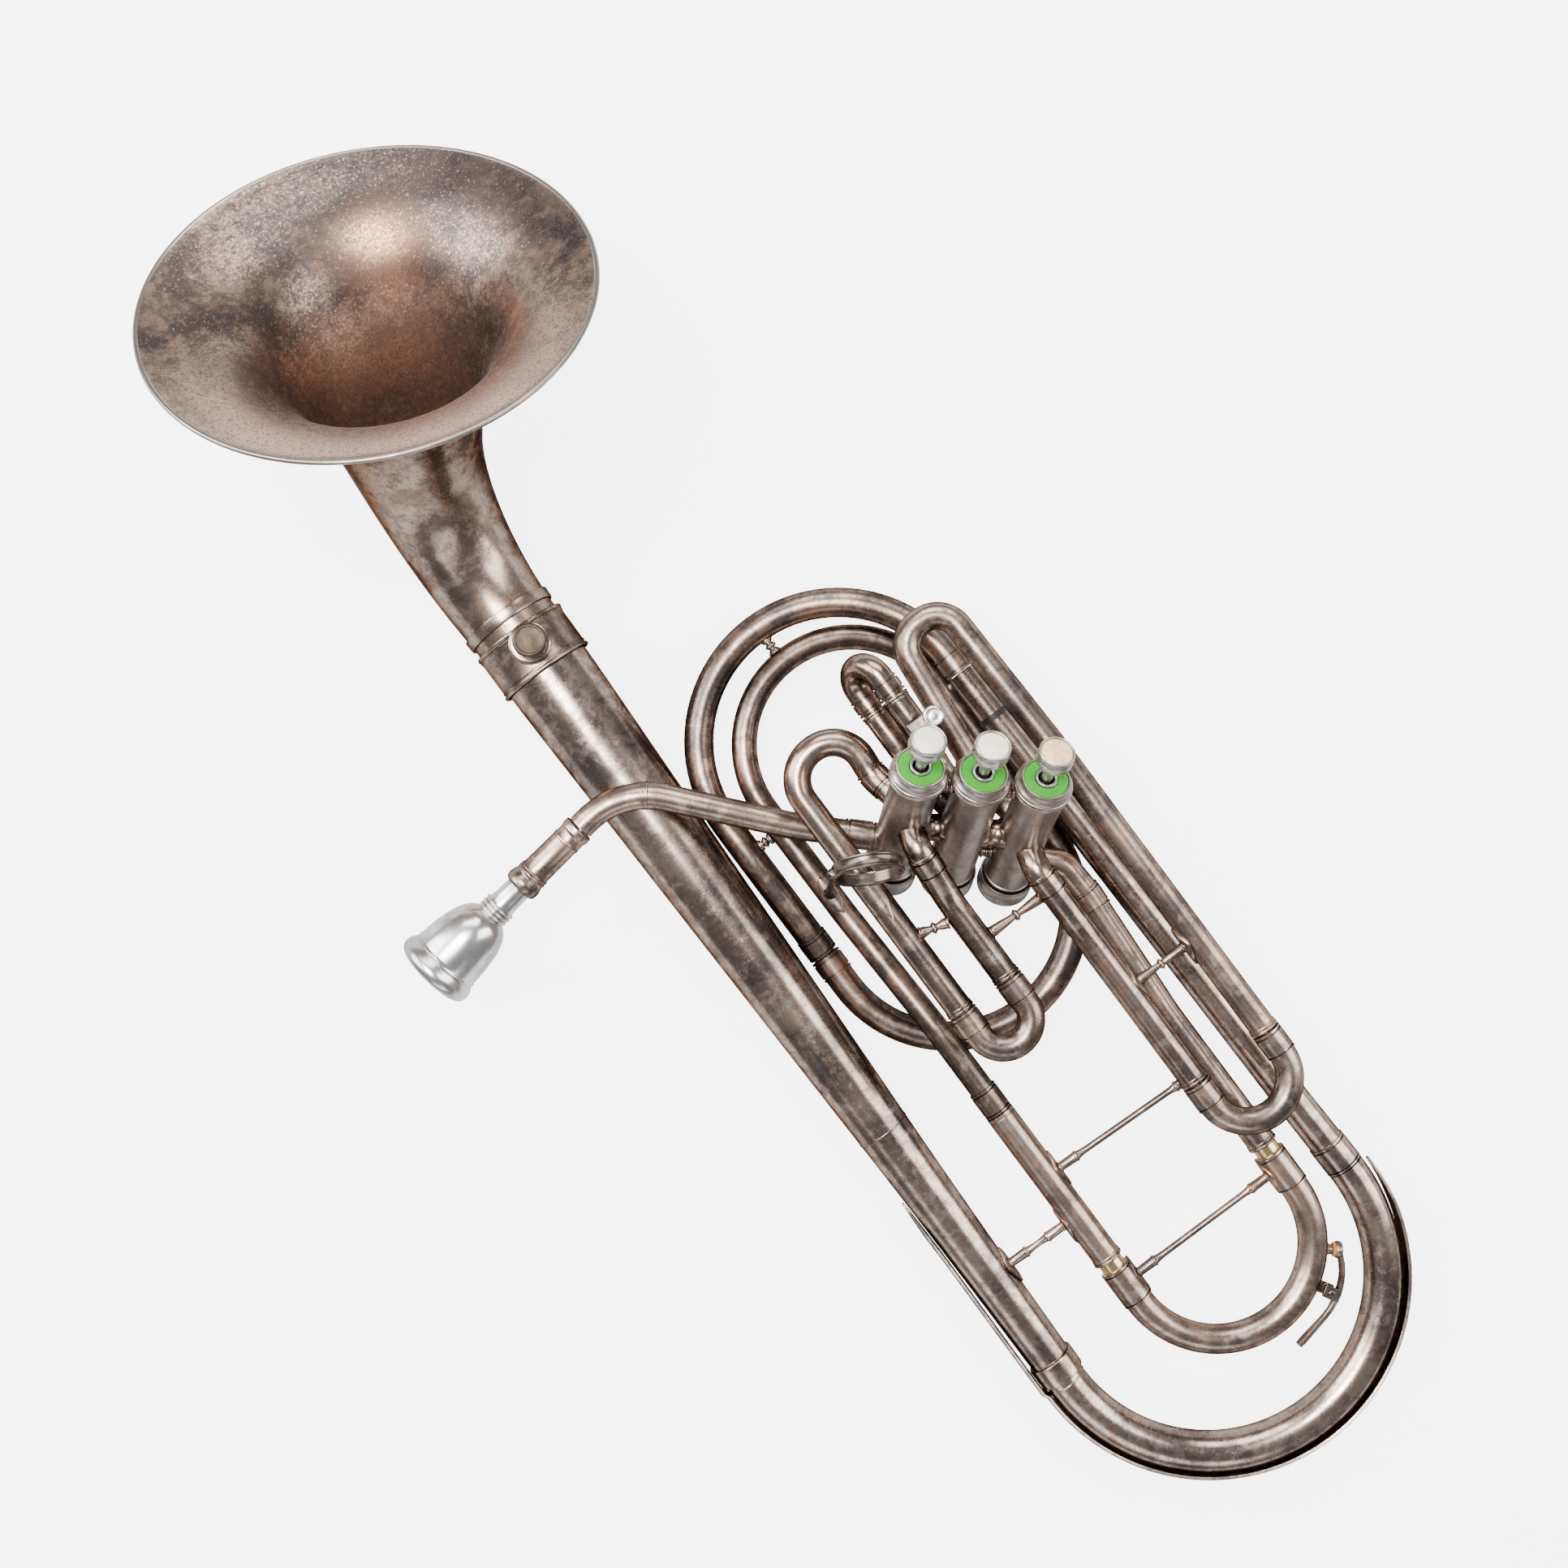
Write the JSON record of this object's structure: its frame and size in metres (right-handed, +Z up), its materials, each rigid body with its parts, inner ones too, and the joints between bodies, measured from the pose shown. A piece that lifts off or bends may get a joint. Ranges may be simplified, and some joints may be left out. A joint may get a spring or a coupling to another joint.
{
  "type": "euphonium",
  "caption": "Bell-front brass instrument lying flat, with three piston valves, valve slides, main tuning slide, detachable bell and mouthpiece.",
  "frame": {"origin": "centre of the footprint on the surface that the instrument lies on", "axes": "+Z up from the surface, +Y along the stem towards the bell, +X from the stem to the valve slides"},
  "size_m": [0.312, 0.7772, 0.1992],
  "materials": {
    "tarnished_silver": "mottled tarnished silver plate with brown and copper patches",
    "satin_silver": "satin grey silver plate",
    "bright_silver": "bright silver plate",
    "aged_brass": "dull brass",
    "spring_steel": "plain metal",
    "green_felt": "bright green wool felt",
    "pearl_button": "polished pearl in a silver cup"
  },
  "bodies": {
    "horn_body": {"valve_casing_1": "satin_silver", "valve_top_cap_1": "satin_silver", "valve_bottom_cap_1": "tarnished_silver", "button_felt_1": "green_felt", "valve_spring_1": "spring_steel", "valve_casing_2": "satin_silver", "valve_top_cap_2": "satin_silver", "valve_bottom_cap_2": "tarnished_silver", "button_felt_2": "green_felt", "valve_spring_2": "spring_steel", "valve_casing_3": "satin_silver", "valve_top_cap_3": "satin_silver", "valve_bottom_cap_3": "tarnished_silver", "button_felt_3": "green_felt", "valve_spring_3": "spring_steel", "valve_knuckle_1_2": "satin_silver", "valve_knuckle_2_3": "satin_silver", "stem_branch": "tarnished_silver", "bottom_bow": "tarnished_silver", "bow_guard": "tarnished_silver", "right_branch": "tarnished_silver", "outer_loop": "tarnished_silver", "small_bow": "tarnished_silver", "inner_loop": "tarnished_silver", "bell_collar": "tarnished_silver", "leadpipe": "tarnished_silver", "mouthpiece_receiver": "satin_silver", "tuning_outer_leg_left": "tarnished_silver", "tuning_outer_leg_right": "tarnished_silver", "first_slide_outer_right": "tarnished_silver", "first_slide_outer_left": "tarnished_silver", "second_slide_outer_upper": "tarnished_silver", "second_slide_outer_lower": "tarnished_silver", "third_slide_outer_left": "tarnished_silver", "third_slide_outer_right": "tarnished_silver", "hand_ring": "satin_silver", "lyre_socket": "satin_silver", "stem_brace": "satin_silver", "tuning_leg_brace": "satin_silver", "third_slide_brace": "satin_silver"},
    "bell_section": {"bell": "tarnished_silver"},
    "bell_screw": {"bell_thumbscrew": "bright_silver"},
    "mouthpiece_body": {"mouthpiece": "bright_silver"},
    "tuning_slide": {"main_tuning_slide": "tarnished_silver", "tuning_slide_brace": "satin_silver", "water_key_saddle": "tarnished_silver"},
    "key_lever": {"water_key": "tarnished_silver"},
    "first_slide_body": {"first_slide": "tarnished_silver"},
    "second_slide_body": {"second_slide": "tarnished_silver"},
    "third_slide_body": {"third_slide": "tarnished_silver"},
    "lyre_screw_body": {"lyre_screw": "bright_silver"},
    "valve_1": {"valve_piston_1": "spring_steel", "valve_stem_1": "aged_brass", "finger_button_1": "pearl_button"},
    "valve_2": {"valve_piston_2": "spring_steel", "valve_stem_2": "aged_brass", "finger_button_2": "pearl_button"},
    "valve_3": {"valve_piston_3": "spring_steel", "valve_stem_3": "aged_brass", "finger_button_3": "pearl_button"}
  },
  "joints": [
    {"name": "valve_1_press", "type": "slide", "parent": "horn_body", "child": "valve_1", "axis": [-0.4048, -0.3668, -0.8376], "range_m": [0, 0.0115], "stiffness_N_per_m": 300, "springref_m": -0.012},
    {"name": "valve_2_press", "type": "slide", "parent": "horn_body", "child": "valve_2", "axis": [-0.4048, -0.3668, -0.8376], "range_m": [0, 0.0115], "stiffness_N_per_m": 300, "springref_m": -0.012},
    {"name": "valve_3_press", "type": "slide", "parent": "horn_body", "child": "valve_3", "axis": [-0.4048, -0.3668, -0.8376], "range_m": [0, 0.0115], "stiffness_N_per_m": 300, "springref_m": -0.012},
    {"name": "main_tuning_slide_pull", "type": "slide", "parent": "horn_body", "child": "tuning_slide", "axis": [0, -1, 0], "range_m": [0, 0.028]},
    {"name": "first_slide_pull", "type": "slide", "parent": "horn_body", "child": "first_slide_body", "axis": [0, -1, 0], "range_m": [0, 0.024]},
    {"name": "second_slide_pull", "type": "slide", "parent": "horn_body", "child": "second_slide_body", "axis": [0, 1, 0], "range_m": [0, 0.007]},
    {"name": "third_slide_pull", "type": "slide", "parent": "horn_body", "child": "third_slide_body", "axis": [0, -1, 0], "range_m": [0, 0.042]},
    {"name": "mouthpiece_pull", "type": "slide", "parent": "horn_body", "child": "mouthpiece_body", "axis": [-0.9904, -0.1351, -0.03], "range_m": [0, 0.036]},
    {"name": "bell_pull", "type": "slide", "parent": "horn_body", "child": "bell_section", "axis": [0, 1, 0], "range_m": [0, 0.028]},
    {"name": "bell_screw_turn", "type": "hinge", "parent": "horn_body", "child": "bell_screw", "pos_m": [-0.02198, 0.15492, 0.05299], "axis": [0.1189, -0.0293, 0.9925], "range_deg": [0, 270]},
    {"name": "lyre_screw_turn", "type": "hinge", "parent": "horn_body", "child": "lyre_screw_body", "pos_m": [0.10572, 0.01425, 0.09186], "axis": [0, 0, 1], "range_deg": [0, 270]},
    {"name": "water_key_press", "type": "hinge", "parent": "tuning_slide", "child": "key_lever", "pos_m": [0.09907, -0.3257, 0.02556], "axis": [0, 0, -1], "range_deg": [0, 9], "stiffness_Nm_per_rad": 0.12, "springref_deg": -20.05}
  ]
}
